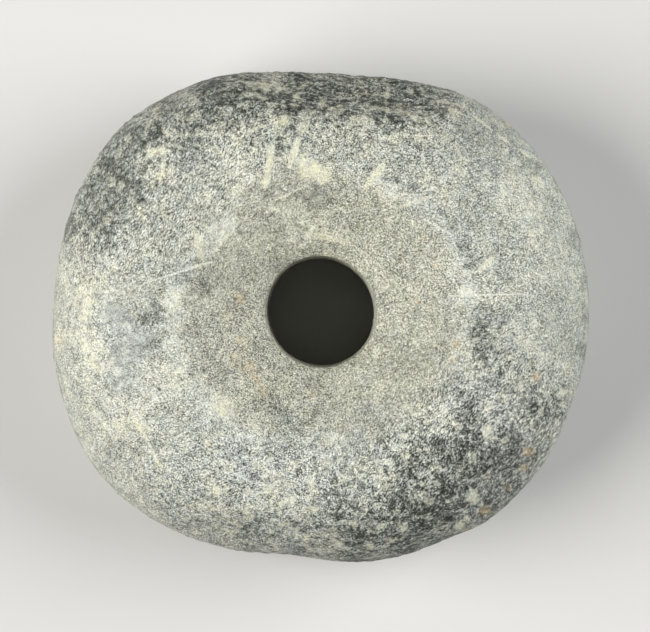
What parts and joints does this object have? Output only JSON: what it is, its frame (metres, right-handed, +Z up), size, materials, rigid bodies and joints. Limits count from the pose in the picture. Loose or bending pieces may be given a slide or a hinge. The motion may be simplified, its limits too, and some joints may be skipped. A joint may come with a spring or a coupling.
{
  "type": "stone spindle whorl",
  "caption": "Thick rounded-square disc of grey stone with a central hole that flares into a shallow worn dish, the weight of a hand spindle.",
  "frame": {"origin": "middle of the surface that the whorl lies on, under the centre of its box", "axes": "+Z up out of the worn upper face, along the hole. +X along the longer way across, +Y along the shorter way across, towards the straight ground edge"},
  "size_m": [0.05, 0.0456, 0.0195],
  "materials": {
    "stone": "fine-grained grey stone, ground and handled smooth on the face, pecked and rough along the rim, with pale mineral crust and small orange stains"
  },
  "bodies": {
    "root": {"whorl": "stone"}
  },
  "joints": []
}
